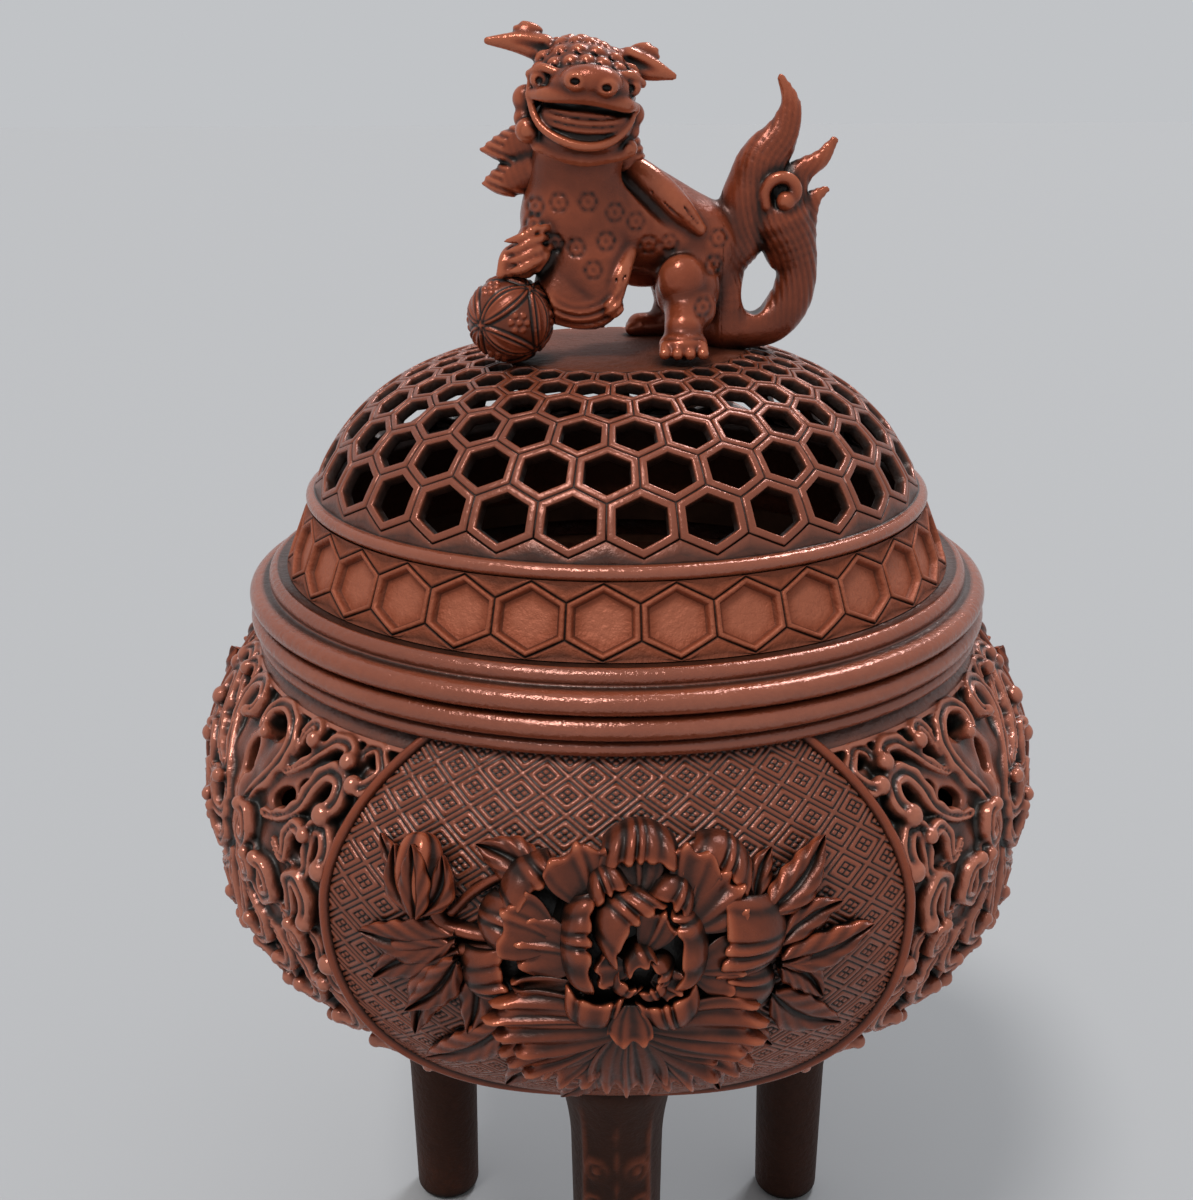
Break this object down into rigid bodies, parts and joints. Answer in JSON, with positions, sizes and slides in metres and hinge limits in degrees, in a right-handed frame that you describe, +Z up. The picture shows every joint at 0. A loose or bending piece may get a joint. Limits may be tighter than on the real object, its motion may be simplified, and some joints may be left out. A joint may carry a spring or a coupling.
{
  "type": "incense burner",
  "caption": "Tripod bronze incense burner: openwork bowl with peony medallions, lift-off honeycomb lid with a lion-dog knob, and a drop-in ash liner.",
  "frame": {"origin": "on the ground, below the middle of the bowl, at the centre of the three feet", "axes": "+Z up through the bowl and lid, front medallion and front leg towards -Y, lion's tail towards +X"},
  "size_m": [0.1146, 0.1171, 0.1799],
  "materials": {
    "bronze": "red-brown patinated cast bronze, satin",
    "bronze_openwork": "red-brown patinated cast bronze with dark recesses",
    "bronze_relief": "red-brown patinated cast bronze, rubbed bright on the high points",
    "bronze_lion": "red-brown patinated cast bronze, rubbed bright on the high points",
    "fixings": "dark bronze, unpolished",
    "copper_liner": "dull copper sheet"
  },
  "bodies": {
    "vessel": {"vessel_bowl": "bronze", "openwork_panel_left": "bronze_openwork", "openwork_panel_right": "bronze_openwork", "openwork_panel_back": "bronze_openwork", "peony_front": "bronze_relief", "peony_back_left": "bronze_relief", "peony_back_right": "bronze_relief", "peony_rivets": "fixings", "leg_front": "bronze", "leg_back_left": "bronze", "leg_back_right": "bronze", "leg_screws": "fixings"},
    "lid": {"lid_dome": "bronze", "lid_locating_ring": "fixings", "lion_body": "bronze_lion", "lion_head": "bronze_lion", "lion_tail": "bronze_lion", "brocade_ball": "bronze_lion", "lion_washers": "fixings", "lion_nuts": "fixings"},
    "liner": {"ash_liner": "copper_liner", "liner_floor": "copper_liner"}
  },
  "joints": [
    {"name": "lid_lift", "type": "slide", "parent": "vessel", "child": "lid", "axis": [0, 0, 1], "range_m": [0, 0.11]},
    {"name": "liner_lift", "type": "slide", "parent": "vessel", "child": "liner", "axis": [0, 0, 1], "range_m": [0, 0.055]}
  ],
  "couplings": [
    {"joint": "liner_lift", "follows": "lid_lift", "ratio": 0.5}
  ]
}
